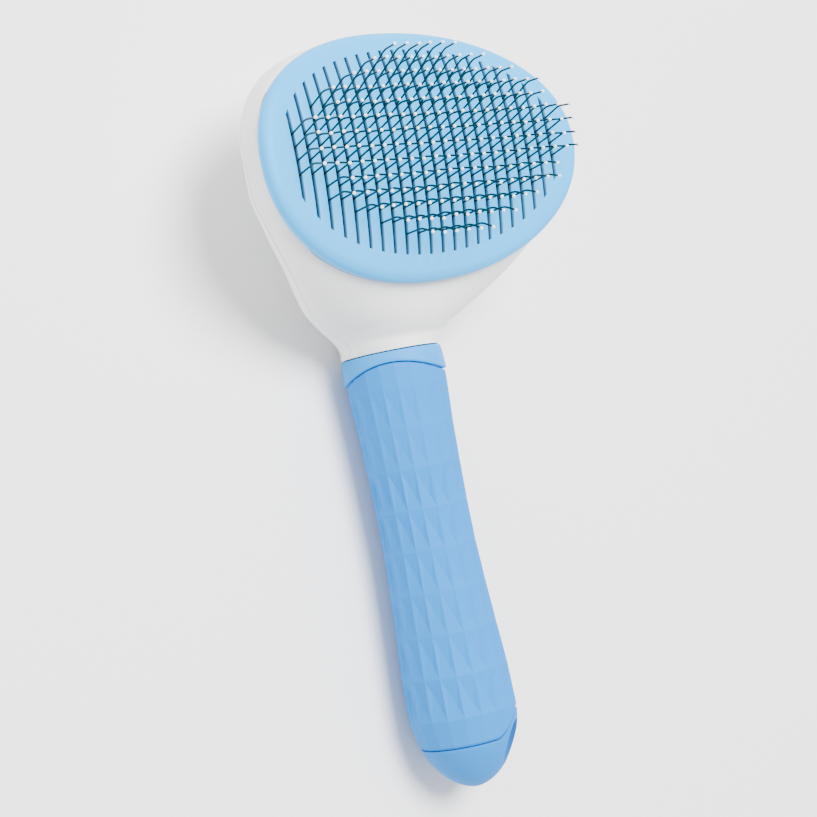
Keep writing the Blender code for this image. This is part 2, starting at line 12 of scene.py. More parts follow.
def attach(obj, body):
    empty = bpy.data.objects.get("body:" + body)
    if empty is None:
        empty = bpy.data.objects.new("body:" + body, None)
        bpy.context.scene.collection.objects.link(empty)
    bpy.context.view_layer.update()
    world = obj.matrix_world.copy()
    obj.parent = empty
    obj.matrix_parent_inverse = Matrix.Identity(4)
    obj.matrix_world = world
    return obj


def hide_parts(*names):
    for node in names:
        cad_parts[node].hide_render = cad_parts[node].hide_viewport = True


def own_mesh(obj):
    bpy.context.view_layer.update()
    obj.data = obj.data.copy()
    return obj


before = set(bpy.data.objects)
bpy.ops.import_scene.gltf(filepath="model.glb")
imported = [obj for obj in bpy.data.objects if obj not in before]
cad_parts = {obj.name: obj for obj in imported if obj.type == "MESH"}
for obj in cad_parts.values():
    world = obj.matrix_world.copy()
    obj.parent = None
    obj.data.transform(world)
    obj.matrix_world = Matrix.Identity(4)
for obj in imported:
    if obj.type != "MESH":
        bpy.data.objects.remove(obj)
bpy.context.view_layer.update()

MM = 0.001
HEAD = (0.0, 65.3, 45.0)         # the plate's crown, in the row frame, mm
HANDLE = (0.0, 18.3, 14.2)       # the middle of the neck's end, in the row frame, mm

CROWN_RADIUS, SADDLE = 104.3, 0.00109
PLATE_A, PLATE_B, PLATE_MID, OVAL = 48.9, 31.8, -0.9, 2.11
PLATE_THICK, LIP_DEPTH = 1.4, 4.3
SLOT_PITCH, SLOT_COUNT, SLOT_WIDTH = 3.8, 22, 1.05
SLOT_A, SLOT_B, SLOT_MID = 43.2, 25.95, -0.35
SLOT_BREAK = 0.26
SLOT_RINGS = ((0.12, 0.05), (0.03, 0.16), (0.0, 0.34), (0.0, 0.8), (0.0, 1.27))
ROW_PITCH = 3.24
WIRES_HALF = (2, 2, 4, 4, 5, 5, 6, 6, 7, 7, 7)
WIRE_RADIUS, BALL_RADIUS = 0.25, 0.44
LOWER_LEG, UPPER_LEG = 6.16, 4.32
LEAN, BEND, FAN = 0.2326, 0.4315, 1.22
BLADE_THICK, BLADE_SINK, BLADE_BOTTOM = 0.8, 4.0, -9.9
SKIRT_A, SKIRT_B, SKIRT_WALL, SKIRT_BOTTOM = 43.2, 27.2, 1.2, -10.2
LEG_X, LEG_Y, LEG_MID, LEG_SIZE = 15.2, 7.0, -2.4, (1.4, 7.0)
SPRING_X, SPRING_Y = 6.5, 7.4
SPRING_LOW, SPRING_HIGH = -21.3, -11.5    # between the carriage and the pin board
SPRING_RADIUS, SPRING_WIRE, SPRING_TURNS = 2.7, 0.35, 5.0
HANG_X, HANG_S = 6.7, 104.5      # the middle of the hang slot
HANG_LONG, HANG_WIDE, HANG_TILT = 5.9, 3.1, math.radians(22.2)
CARRIAGE_BOTTOM = -23.8
GAP, SEAT_GAP = 0.3, 0.15        # clearances between pieces, and under the plate's lip
BOARD_BOSS_X, BOARD_BOSS_Y = 34.8, 10.8
CAMERA_PLACE, CAMERA_TARGET = (-0.28190, -0.00904, 0.38857), (-0.0100, 0.0026, 0.0302)    # metres
CAMERA_ROLL = math.radians(76.69)
WALL, SEAM_GAP = 2.0, 0.2
BUTTON_A, BUTTON_B, BUTTON_MID = 12.5, 10.0, -2.4
BUTTON_FACE, BUTTON_SLOPE = -42.6, 0.18
SHELL_SCREW, CORE_SCREW = (14.0, -36.0), (4.2, -42.0)
SHELL_SEAT, CORE_SEAT = -33.2, -41.4
AXIS_DROP, NECK_END_Y, TANG_RADIUS, TANG_LENGTH = 30.8, -47.0, 8.2, 9.5
GRIP_BORE, CORE_RADIUS = 9.3, 9.0
CORE_END, HANDLE_END = 94.2, 114.5
DOME_START, DOME_RADIUS, DOME_POWER = 95.0, 14.1, 1.8

# Housing sections: y, half width, front, seam, back, front exponent, back exponent
HOUSING = (
    (-47.0, 12.8, -18.05, -32.0, -43.55, 2.0, 2.0),
    (-44.5, 13.6, -18.0, -29.2, -43.9, 2.0, 2.0),
    (-42.0, 16.4, -15.6, -29.0, -41.7, 2.0, 2.0),
    (-39.0, 21.4, -13.0, -27.0, -39.7, 2.1, 2.0),
    (-35.0, 27.4, -10.1, -23.3, -37.6, 2.2, 2.0),
    (-30.0, 33.0, -6.9, -18.2, -35.4, 2.5, 1.9),
    (-24.0, 37.8, -3.5, -14.2, -33.1, 3.2, 1.8),
    (-15.0, 43.4, 0.0, -11.3, -31.1, 4.5, 1.7),
    (-5.0, 47.0, 2.0, -10.0, -30.0, 6.0, 1.6),
    (5.0, 47.1, 1.8, -9.7, -28.7, 6.0, 1.6),
    (15.0, 43.3, 0.8, -10.5, -26.9, 6.0, 1.6),
    (22.0, 36.8, -0.5, -11.3, -24.5, 5.0, 1.6),
    (27.0, 26.6, -2.1, -12.1, -21.9, 4.0, 1.7),
    (29.4, 14.4, -4.2, -13.0, -19.2, 3.0, 1.8),
    (30.2, 4.0, -8.2, -13.5, -17.0, 2.0, 2.0),
)
SPINE = (
    (-46.0, 4.0, -42.5), (-43.5, 6.4, -44.5), (-41.5, 7.6, -45.0), (-29.0, 10.5, -45.0),
    (-23.0, 13.0, -43.2), (-15.0, 15.2, -39.6), (-6.0, 16.4, -37.2), (3.0, 15.8, -36.0),
    (9.0, 13.2, -34.6), (13.0, 9.6, -32.6), (15.5, 4.5, -29.5),
)
SPINE_TOP = -24.0


# ---------------------------------------------------------------- materials
class Nodes:
    """Small helper that adds and links shader nodes."""

    def __init__(self, name):
        self.material = bpy.data.materials.new(name)
        self.material.use_nodes = True
        self.tree = self.material.node_tree
        self.shader = self.tree.nodes["Principled BSDF"]
        place = self.tree.nodes.new("ShaderNodeTexCoord")
        self.place = place.outputs["Object"]

    def add(self, kind, **values):
        node = self.tree.nodes.new("ShaderNode" + kind)
        for key, value in values.items():
            if hasattr(node, key):
                setattr(node, key, value)
            else:
                node.inputs[key.replace("_", " ")].default_value = value
        return node

    def link(self, out, into):
        self.tree.links.new(out, into)

    def noise(self, scale, detail=3.0, roughness=0.55, stretch=None):
        node = self.add("TexNoise")
        node.inputs["Scale"].default_value = scale
        node.inputs["Detail"].default_value = detail
        node.inputs["Roughness"].default_value = roughness
        if stretch:
            mapping = self.add("Mapping")
            mapping.inputs["Scale"].default_value = stretch
            self.link(self.place, mapping.inputs["Vector"])
            self.link(mapping.outputs["Vector"], node.inputs["Vector"])
        else:
            self.link(self.place, node.inputs["Vector"])
        return node.outputs["Fac"]

    def ramp(self, factor, low, high):
        node = self.add("MapRange")
        node.inputs["To Min"].default_value = low
        node.inputs["To Max"].default_value = high
        self.link(factor, node.inputs["Value"])
        return node.outputs["Result"]

    def mix(self, factor, first, second):
        node = self.add("Mix", data_type="RGBA")
        node.inputs["A"].default_value = (*first, 1.0)
        node.inputs["B"].default_value = (*second, 1.0)
        self.link(factor, node.inputs["Factor"])
        return node.outputs["Result"]

    def bump(self, height, distance, strength=1.0, normal=None):
        node = self.add("Bump")
        node.inputs["Strength"].default_value = strength
        node.inputs["Distance"].default_value = distance
        self.link(height, node.inputs["Height"])
        if normal:
            self.link(normal, node.inputs["Normal"])
        return node.outputs["Normal"]


def shade(colour, amount):
    return tuple(min(1.0, c * amount) for c in colour)


def moulded(name, colour, roughness, grain, grain_depth, mottling=0.02, specular=0.5):
    """Moulded plastic or rubber: faint mottling, uneven gloss and a fine grain."""
    n = Nodes(name)
    broad = n.noise(35.0, 4.0)
    darker, lighter = shade(colour, 1.0 - mottling), shade(colour, 1.0 + mottling)
    n.link(n.mix(broad, darker, lighter), n.shader.inputs["Base Color"])
    n.link(n.ramp(n.noise(260.0, 4.0), roughness - 0.06, roughness + 0.06), n.shader.inputs["Roughness"])
    wave = n.bump(n.noise(60.0, 2.0), 0.00004, 0.5)
    n.link(n.bump(n.noise(grain, 3.0), grain_depth, 0.5, wave), n.shader.inputs["Normal"])
    n.shader.inputs["Specular IOR Level"].default_value = specular
    return n.material


def metal(name, colour, roughness, streaks):
    """Drawn or plated steel: fine streaks along the part and uneven gloss."""
    n = Nodes(name)
    fine = n.noise(900.0, 4.0, stretch=streaks)
    n.link(n.mix(fine, shade(colour, 0.8), shade(colour, 1.2)), n.shader.inputs["Base Color"])
    n.link(n.ramp(fine, roughness - 0.08, roughness + 0.1), n.shader.inputs["Roughness"])
    n.link(n.bump(fine, 0.00002, 0.5), n.shader.inputs["Normal"])
    n.shader.inputs["Metallic"].default_value = 1.0
    return n.material


WHITE = moulded("white_shell", (0.86, 0.86, 0.85), 0.45, 2600.0, 0.00002)
PLATE_BLUE = moulded("plate_blue", (0.012, 0.42, 0.92), 0.5, 2600.0, 0.00002, 0.02, 0.2)
# Painted shade in the plate's slots: a mid-tone copy of the plate's blue for the upper slot walls, and a dark
# copy for the deep walls, where little light reaches.
SLOT_EDGE_PAINTED_SHADE = moulded("slot_edge_painted_shade", (0.13, 0.53, 0.90), 0.6, 2600.0, 0.00002, 0.02, 0.2)
SLOT_DEEP_PAINTED_SHADE = moulded("slot_deep_painted_shade", (0.09, 0.27, 0.42), 0.7, 2600.0, 0.00002, 0.02, 0.2)
COLLAR_BLUE = moulded("collar_blue", (0.008, 0.28, 0.72), 0.55, 2600.0, 0.00002, 0.02, 0.2)
GRIP_BLUE = moulded("grip_rubber_blue", (0.006, 0.215, 0.62), 0.65, 3200.0, 0.00004, 0.03, 0.12)
CAP_BLUE = moulded("cap_blue", (0.008, 0.21, 0.60), 0.6, 2800.0, 0.00003, 0.02, 0.15)
# Painted light: a lighter copy of the cap's blue for the hang slot's walls, standing in for the light on the
# slot's inner wall.
CAP_SLOT_PAINTED_LIGHT = moulded("cap_slot_painted_light", (0.07, 0.40, 0.80), 0.6, 2800.0, 0.00003, 0.02, 0.15)
BALL_WHITE = moulded("tip_white", (0.97, 0.97, 0.98), 0.25, 3000.0, 0.00001)
INNER_GREY = moulded("inner_grey", (0.03, 0.045, 0.065), 0.6, 1800.0, 0.00004)
WIRE_STEEL = metal("wire_steel", (0.085, 0.075, 0.06), 0.36, (1.0, 1.0, 0.1))
SCREW_STEEL = metal("screw_steel", (0.50, 0.50, 0.52), 0.3, (1.0, 1.0, 0.3))


# ---------------------------------------------------------------- mesh helpers
def place(points, origin):
    return [tuple((c + o) * MM for c, o in zip(p, origin)) for p in points]


def build(name, shells, origin, material, sharp=32.0, flat=False):
    """One mesh from (points, faces) shells, its points in millimetres from the origin."""
    points, faces = [], []
    for shell_points, shell_faces in shells:
        base = len(points)
        points += place(shell_points, origin)
        faces += [tuple(base + i for i in face) for face in shell_faces]
    mesh = bpy.data.meshes.new(name)
    mesh.from_pydata(points, [], faces)
    shape = bmesh.new()
    shape.from_mesh(mesh)
    bmesh.ops.remove_doubles(shape, verts=shape.verts, dist=1e-7)
    bmesh.ops.recalc_face_normals(shape, faces=shape.faces)
    shape.to_mesh(mesh)
    shape.free()
    made = bpy.data.objects.new(name, mesh)
    bpy.context.scene.collection.objects.link(made)
    if material:
        mesh.materials.append(material)
    if not flat:
        smooth(made, sharp)
    return made


def smooth(made, sharp=32.0):
    made.data.shade_smooth()
    made.data.set_sharp_from_angle(angle=math.radians(sharp))


def carve(target, *steps):
    """Applies Boolean steps, each an operation and a tool, and drops the tools."""
    for operation, tool in steps:
        step = target.modifiers.new(operation, "BOOLEAN")
        step.object = tool
        step.operation = operation
        step.solver = "EXACT"
    bpy.context.view_layer.update()
    result = bpy.data.meshes.new_from_object(target.evaluated_get(bpy.context.evaluated_depsgraph_get()))
    target.modifiers.clear()
    target.data = result
    for _, tool in steps:
        bpy.data.objects.remove(tool, do_unlink=True)
    return target


def loft(rings, close=True):
    count = len(rings[0])
    points = [p for ring in rings for p in ring]
    faces = []
    for level in range(len(rings) - 1):
        low = level * count
        for i in range(count):
            j = (i + 1) % count
            faces.append((low + i, low + j, low + count + j, low + count + i))
    if close:
        faces.append(tuple(range(count - 1, -1, -1)))
        last = (len(rings) - 1) * count
        faces.append(tuple(range(last, last + count)))
    return points, faces


def tube_wall(rings):
    """A closed wall: the last ring joins back to the first."""
    return loft(list(rings) + [rings[0]], close=False)


def superellipse(a, b, power, count, x=0.0, y=0.0):
    outline = []
    for i in range(count):
        turn = 2.0 * math.pi * i / count
        c, s = math.cos(turn), math.sin(turn)
        outline.append((
            x + a * math.copysign(abs(c) ** (2.0 / power), c),
            y + b * math.copysign(abs(s) ** (2.0 / power), s),
        ))
    return outline


def prism(outline, low, high):
    return loft([[(x, y, low) for x, y in outline], [(x, y, high) for x, y in outline]])


def circle(x, y, z, radius, sides):
    turns = [2.0 * math.pi * i / sides for i in range(sides)]
    return [(x + radius * math.cos(turn), y + radius * math.sin(turn), z) for turn in turns]


def turned(profile, x, y, sides=32):
    """A round piece about a line along Z through x, y; the profile is (radius, z) pairs."""
    rings = []
    for radius, z in profile:
        rings.append(circle(x, y, z, radius, sides))
    return loft(rings)


def eased(t):
    t = max(0.0, min(1.0, t))
    return t * t * (3.0 - 2.0 * t)


def monotone(xs, ys, x):
    """Monotone cubic through the points, read at x (an array)."""
    xs, ys = np.asarray(xs, float), np.asarray(ys, float)
    h, d = np.diff(xs), np.diff(ys) / np.diff(xs)
    slopes = np.zeros(len(xs))
    for i in range(1, len(xs) - 1):
        if d[i - 1] * d[i] > 0:
            w1, w2 = 2 * h[i] + h[i - 1], h[i] + 2 * h[i - 1]
            slopes[i] = (w1 + w2) / (w1 / d[i - 1] + w2 / d[i])
    slopes[0], slopes[-1] = d[0], d[-1]
    i = np.clip(np.searchsorted(xs, x) - 1, 0, len(xs) - 2)
    t = (x - xs[i]) / h[i]
    return (
        ys[i] * (1 + 2 * t) * (1 - t) ** 2 + slopes[i] * h[i] * t * (1 - t) ** 2
        + ys[i + 1] * t * t * (3 - 2 * t) + slopes[i + 1] * h[i] * t * t * (t - 1)
    )


def refine(table, count, key=0, other=1):
    """A table's rows, read densely and evenly along the curve that two of its columns draw."""
    rows = np.array(table, float)
    steps = np.hypot(np.diff(rows[:, key]), np.diff(rows[:, other]))
    along = np.concatenate([[0.0], np.cumsum(steps)])
    wanted = np.linspace(0.0, along[-1], count)
    return np.stack([monotone(along, rows[:, k], wanted) for k in range(rows.shape[1])], 1)


# ---------------------------------------------------------------- the plate's curved surface
def drop(y):
    return CROWN_RADIUS - math.sqrt(CROWN_RADIUS ** 2 - min(y * y, 10000.0))


def surface(x, y):
    return SADDLE * x * x - drop(y)


def oval_ring(inset, depth, count=240):
    ring = superellipse(PLATE_A - inset, PLATE_B - inset, OVAL, count, 0.0, PLATE_MID)
    return [(x, y, surface(x, y) - depth) for x, y in ring]


def oval_reach(x, a, b):
    return b * (1.0 - min(1.0, abs(x) / a) ** OVAL) ** (1.0 / OVAL)


def slot_x(index):
    return (index - (SLOT_COUNT - 1) / 2.0) * SLOT_PITCH


def slot_loop(index, grow):
    """A slot's outline, counter-clockwise: straight sides, ends that follow the slotted oval."""
    x, half = slot_x(index), SLOT_WIDTH / 2.0 + grow
    steps = max(2, round(oval_reach(x, SLOT_A, SLOT_B) / 1.2))

    def reach(across):
        return oval_reach(across, SLOT_A + grow, SLOT_B + grow)

    right, left = reach(x + half), reach(x - half)
    loop = [(x + half, right * (2.0 * k / steps - 1.0)) for k in range(steps)]
    loop += [(x + half * (1.0 - k / 2.0), reach(x + half * (1.0 - k / 2.0))) for k in range(4)]
    loop += [(x - half, left * (1.0 - 2.0 * k / steps)) for k in range(steps)]
    loop += [(x - half * (1.0 - k / 2.0), -reach(x - half * (1.0 - k / 2.0))) for k in range(4)]
    return [(x, y + SLOT_MID) for x, y in loop]


def in_slot(x, y, grow):
    index = round(x / SLOT_PITCH + (SLOT_COUNT - 1) / 2.0)
    if not 0 <= index < SLOT_COUNT or abs(x - slot_x(index)) > SLOT_WIDTH / 2.0 + grow:
        return False
    return abs(y - SLOT_MID) < oval_reach(x, SLOT_A + grow, SLOT_B + grow)


def plate_skin():
    """The slotted plate: top, underside and slot walls as one closed skin."""
    rim_count = 240
    rim = superellipse(PLATE_A - 2.7, PLATE_B - 2.7, OVAL, rim_count, 0.0, PLATE_MID)
    flat_points = list(rim)
    edges = [(i, (i + 1) % rim_count) for i in range(rim_count)]
    loops = []
    for index in range(SLOT_COUNT):
        loop = slot_loop(index, SLOT_BREAK)
        base = len(flat_points)
        flat_points += loop
        edges += [(base + i, base + (i + 1) % len(loop)) for i in range(len(loop))]
        loops.append((base, len(loop)))
    for column in range(-26, 27):
        x = column * SLOT_PITCH / 2.0
        for step in range(-16, 17):
            y = PLATE_MID + step * 2.0
            inside = abs(x / (PLATE_A - 4.0)) ** OVAL + abs((y - PLATE_MID) / (PLATE_B - 4.0)) ** OVAL < 1.0
            if inside and not in_slot(x, y, SLOT_BREAK + 0.6):
                flat_points.append((x, y))
    result = delaunay_2d_cdt([Vector(p) for p in flat_points], edges, [], 0, 1e-6)
    placed = [(v.x, v.y) for v in result[0]]
    if len(placed) != len(flat_points):
        raise RuntimeError("the plate's points were merged")
    kept = []
    for face in result[2]:
        cx = sum(placed[i][0] for i in face) / 3.0
        cy = sum(placed[i][1] for i in face) / 3.0
        if not in_slot(cx, cy, SLOT_BREAK - 0.004):
            kept.append(tuple(face))
    count = len(placed)
    points = [(x, y, surface(x, y)) for x, y in placed]
    points += [(x, y, surface(x, y) - PLATE_THICK) for x, y in placed]
    faces = kept + [tuple(count + i for i in reversed(face)) for face in kept]
    # The slot walls are gathered apart for painted shade: the break stays in the plate's blue, the upper
    # walls take the mid-tone shade copy, and the deep walls take the dark one.
    upper_walls_painted_shade, lower_walls_painted_deep_shade = [], []
    sides = (faces, upper_walls_painted_shade, upper_walls_painted_shade, upper_walls_painted_shade, lower_walls_painted_deep_shade, lower_walls_painted_deep_shade)
    for index, (base, length) in enumerate(loops):
        upper = base
        for level in range(len(SLOT_RINGS) + 1):
            lower = count + base
            if level < len(SLOT_RINGS):
                grow, depth = SLOT_RINGS[level]
                lower = len(points)
                points += [(x, y, surface(x, y) - depth) for x, y in slot_loop(index, grow)]
            for i in range(length):
                j = (i + 1) % length
                sides[level].append((upper + i, upper + j, lower + j, lower + i))
            upper = lower
    profile = (
        (2.7, 0.0), (2.2, 0.05), (1.7, 0.17), (1.25, 0.36), (0.85, 0.62), (0.5, 0.95),
        (0.24, 1.34), (0.1, 1.8), (0.1, 2.3), (0.22, 3.0), (0.42, 3.7), (0.6, 4.08),
        (0.8, 4.24), (1.05, 4.3), (1.6, 4.3), (1.85, 4.1),
        (1.9, 3.4), (2.2, 2.3), (2.7, PLATE_THICK),
    )
    last = list(range(rim_count))
    for inset, depth in profile[1:-1]:
        first = len(points)
        points += oval_ring(inset, depth, rim_count)
        for i in range(rim_count):
            j = (i + 1) % rim_count
            faces.append((last[i], last[j], first + j, first + i))
        last = list(range(first, first + rim_count))
    for i in range(rim_count):
        j = (i + 1) % rim_count
        faces.append((last[i], last[j], count + j, count + i))
    return points, faces, upper_walls_painted_shade, lower_walls_painted_deep_shade


def plate_skirt():
    outer = superellipse(SKIRT_A + SKIRT_WALL, SKIRT_B + SKIRT_WALL, OVAL, 160, 0.0, PLATE_MID)
    inner = superellipse(SKIRT_A, SKIRT_B, OVAL, 160, 0.0, PLATE_MID)
    return tube_wall([
        [(x, y, SKIRT_BOTTOM) for x, y in inner],
        [(x, y, SKIRT_BOTTOM) for x, y in outer],
        [(x, y, surface(x, y) - 1.0) for x, y in outer],
        [(x, y, surface(x, y) - 1.0) for x, y in inner],
    ])


def plate_legs():
    legs = []
    half_x, half_y = LEG_SIZE[0] / 2.0, LEG_SIZE[1] / 2.0
    for sx in (-1, 1):
        for sy in (-1, 1):
            x, y = sx * LEG_X, LEG_MID + sy * LEG_Y
            outline = superellipse(half_x, half_y, 8.0, 24, x, y)
            legs.append(prism(outline, CARRIAGE_BOTTOM + 0.5, surface(x, y) - 1.2))
    return legs


def cleaning_plate():
    points, faces, upper_walls_painted_shade, lower_walls_painted_deep_shade = plate_skin()
    skin = (points, faces + upper_walls_painted_shade + lower_walls_painted_deep_shade)
    made = build("slotted_plate", [skin, plate_skirt(), *plate_legs()], HEAD, PLATE_BLUE, 38.0)
    # Painted shade in the slots: the upper walls take the mid-tone shade material, and the deep walls take
    # the dark shade material.
    made.data.materials.append(SLOT_EDGE_PAINTED_SHADE)
    made.data.materials.append(SLOT_DEEP_PAINTED_SHADE)
    slots = np.zeros(len(made.data.polygons), np.int32)
    middle = len(faces) + len(upper_walls_painted_shade)
    slots[len(faces):middle] = 1
    slots[middle:middle + len(lower_walls_painted_deep_shade)] = 2
    made.data.polygons.foreach_set("material_index", slots)
    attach(made, "ejector")
    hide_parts("cleaning_plate")


# ---------------------------------------------------------------- pins
def row_positions(index):
    half = WIRES_HALF[min(index, SLOT_COUNT - 1 - index)]
    return [(k + 0.5) * ROW_PITCH for k in range(-half, half)]


def wire_path(x, arc, jitter):
    """Points of one wire in its row's plane, from its root through a soft bend to its tip."""
    angle = arc / CROWN_RADIUS
    y = CROWN_RADIUS * math.sin(angle)
    z = surface(x, y)
    lean = angle * FAN + LEAN + jitter[0]
    bend = lean - BEND + jitter[1]
    sunk = z + drop(y) + BLADE_SINK + 1.2
    root = np.array([y - sunk * math.tan(lean), z - sunk])
    knee = np.array([y + LOWER_LEG * math.sin(lean), z + LOWER_LEG * math.cos(lean)])
    tip = knee + UPPER_LEG * np.array([math.sin(bend), math.cos(bend)])
    before = knee - 1.1 * np.array([math.sin(lean), math.cos(lean)])
    after = knee + 1.1 * np.array([math.sin(bend), math.cos(bend)])
    path = [root, before - 0.02 * (before - root)]
    for k in range(7):
        t = k / 6.0
        path.append(before * (1 - t) ** 2 + knee * 2 * t * (1 - t) + after * t * t)
    path.append(tip)
    return path


def tube(path, x, sway, radius, sides=10):
    """A round tube along a path in the plane of its row, leaning sideways a little."""
    rings = []
    base = path[0]
    for k, here in enumerate(path):
        ahead, behind = path[min(k + 1, len(path) - 1)], path[max(k - 1, 0)]
        along = (ahead - behind) / np.linalg.norm(ahead - behind)
        out = np.array([along[1], -along[0]])
        side = x + sway * max(0.0, here[1] - base[1] - 5.0)
        ring = []
        for i in range(sides):
            turn = 2.0 * math.pi * i / sides
            offset = out * (radius * math.sin(turn))
            ring.append((side + radius * math.cos(turn), here[0] + offset[0], here[1] + offset[1]))
        rings.append(ring)
    return loft(rings)


def ball(x, y, z, radius, sides=14, levels=9):
    rings = []
    for level in range(1, levels):
        turn = math.pi * level / levels
        rings.append(circle(x, y, z - radius * math.cos(turn), radius * math.sin(turn), sides))
    return loft(rings)


def strip(index):
    """The metal strip that carries the roots of one row."""
    x = slot_x(index)
    ys = [wire_path(x, arc, (0.0, 0.0))[0][0] for arc in row_positions(index)]
    low, high = min(ys) - 1.2, max(ys) + 1.2
    tops = [(low + (high - low) * k / 12, -BLADE_SINK - drop(low + (high - low) * k / 12)) for k in range(13)]
    side = [(low, BLADE_BOTTOM)] + tops + [(high, BLADE_BOTTOM)]
    half = BLADE_THICK / 2.0
    return loft([[(x - half, y, z) for y, z in side], [(x + half, y, z) for y, z in side]])


def pin_rows():
    generator = np.random.default_rng(7)
    for index in range(SLOT_COUNT):
        x = slot_x(index)
        wires, tips = [strip(index)], []
        for arc in row_positions(index):
            jitter = generator.normal(0.0, 0.012, 2)
            sway = float(np.clip(generator.normal(0.0, 0.010), -0.015, 0.015))
            path = wire_path(x, arc, jitter)
            wires.append(tube(path, x, sway, WIRE_RADIUS))
            top = path[-1]
            side = x + sway * (top[1] - path[0][1] - 5.0)
            tips.append(ball(side, top[0], top[1], BALL_RADIUS))
        made = build(f"wire_row_{index + 1:02d}", wires + tips, HEAD, WIRE_STEEL, 40.0)
        made.data.materials.append(BALL_WHITE)
        tip_faces = sum(len(faces) for _, faces in tips)
        slots = np.zeros(len(made.data.polygons), np.int32)
        slots[len(slots) - tip_faces:] = 1
        made.data.polygons.foreach_set("material_index", slots)
        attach(made, "brush")
        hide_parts(f"pin_row_{index + 1:02d}")


# ---------------------------------------------------------------- housing
def section(row, count, lift=None):
    y, width, front, seam, back, front_power, back_power = row
    ring = []
    for i in range(count):
        turn = 2.0 * math.pi * i / count
        c, s = math.cos(turn), math.sin(turn)
        power = front_power if s >= 0 else back_power
        height = front - seam if s >= 0 else seam - back
        x = width * math.copysign(abs(c) ** (2.0 / power), c)
        z = seam + height * math.copysign(abs(s) ** (2.0 / power), s)
        if lift and s > 0:
            z += lift(x, y, z, seam)
        ring.append((x, y, z))
    return ring


def front_level(x, y, rows):
    """Height of the plain front surface over a point of the plan."""
    row = [np.interp(y, rows[:, 0], rows[:, k]) for k in range(7)]
    part = 1.0 - min(1.0, abs(x) / row[1]) ** row[5]
    return row[3] + (row[2] - row[3]) * part ** (1.0 / row[5])


def ledge_lift(rows):
    """Bends the front surface so that it meets the plate's lip all the way round."""
    turns = np.radians(np.arange(180.0, 361.0, 3.0))
    gaps = []
    for turn in turns:
        c, s = math.cos(turn), math.sin(turn)
        x = (PLATE_A - GAP) * math.copysign(abs(c) ** (2.0 / OVAL), c)
        y = PLATE_MID + (PLATE_B - GAP) * math.copysign(abs(s) ** (2.0 / OVAL), s)
        wanted = surface(x, y) - LIP_DEPTH - SEAT_GAP
        half = np.interp(y, rows[:, 0], rows[:, 1])
        reach = eased((half - abs(x)) / 3.0)
        gaps.append((wanted - front_level(x, y, rows)) * reach if half > abs(x) else 0.0)
    gaps = np.array(gaps)

    def lift(x, y, z, seam):
        turn = math.atan2((y - PLATE_MID) / PLATE_B, x / PLATE_A)
        if turn > 0.0:
            return 0.0
        outside = (abs(x / PLATE_A) ** OVAL + abs((y - PLATE_MID) / PLATE_B) ** OVAL) ** (1.0 / OVAL) - 1.0
        fade = 1.0 - eased(outside * PLATE_B / 9.0)
        above = eased((z - seam) / 4.0)
        return float(np.interp(turn + 2.0 * math.pi, turns, gaps)) * fade * above

    return lift


def inner_rings(count):
    rings = []
    top = HOUSING[-1][0]
    for y, width, front, seam, back, front_power, back_power in HOUSING[:-1]:
        shrink = 1.0 - WALL / (top - PLATE_MID)
        inner_y = PLATE_MID + (y - PLATE_MID) * shrink if y > PLATE_MID else y
        inner_front = min(front - WALL, -LIP_DEPTH - GAP - WALL - drop(min(30.0, abs(y))))
        inner_front = max(inner_front, seam + 0.8)
        row = (inner_y, width - WALL, inner_front, seam, back + WALL, front_power, back_power)
        rings.append(section(row, count))
    return [[(x, y - 4.0, z) for x, y, z in rings[0]]] + rings


def tang_room(gap):
    radius = TANG_RADIUS + gap
    ring = superellipse(radius, radius, 2.0, 40)
    return loft([
        [(x, y, z - AXIS_DROP) for x, z in ring] for y in (NECK_END_Y - 1.0, NECK_END_Y + TANG_LENGTH + gap)
    ])


def seam_block(rows, offset, limit):
    line = [(-60.0, rows[0, 3])] + [(y, z) for y, z in rows[:, (0, 3)]] + [(45.0, rows[-1, 3])]
    side = [(y, z + offset) for y, z in line] + [(45.0, limit), (-60.0, limit)]
    return loft([[(-70.0, y, z) for y, z in side], [(70.0, y, z) for y, z in side]])


def tool(name, *shells):
    return build(name, shells, HEAD, None, flat=True)


def cavity(bosses):
    space = tool("space", loft(inner_rings(60)))
    posts = tool("posts", *bosses)
    carve(posts, ("DIFFERENCE", tool("ends", tang_room(0.6))))
    return carve(space, ("UNION", tool("tang", tang_room(GAP))), ("DIFFERENCE", posts))


def mirrored(x, y):
    return ((x, y), (-x, y))


def post(x, y, radius, low, high):
    return prism(superellipse(radius, radius, 2.0, 24, x, y), low, high)


def spine():
    rings = []
    for y, width, low in refine(SPINE, 48):
        side = []
        for k in range(15):
            t = k / 14.0
            turn = t * math.pi / 2.0
            reach = math.cos(turn) ** (2.0 / 3.4)
            depth = math.sin(turn) ** (2.0 / 3.4)
            side.append((width * (0.4 + 0.6 * reach), SPINE_TOP + (low - SPINE_TOP) * depth))
        rings.append([(x, y, z) for x, z in side] + [(-x, y, z) for x, z in reversed(side)])
    return loft(rings)


def seat_cutter():
    rings = []
    for scale in (0.02, 0.25, 0.5, 0.75, 1.0):
        ring = superellipse((PLATE_A - GAP) * scale, (PLATE_B - GAP) * scale, OVAL, 200, 0.0, PLATE_MID)
        rings.append([(x, y, surface(x, y) - LIP_DEPTH - SEAT_GAP) for x, y in ring])
    rings.append([(x, y, 20.0) for x, y, z in rings[-1]])
    return loft(rings)


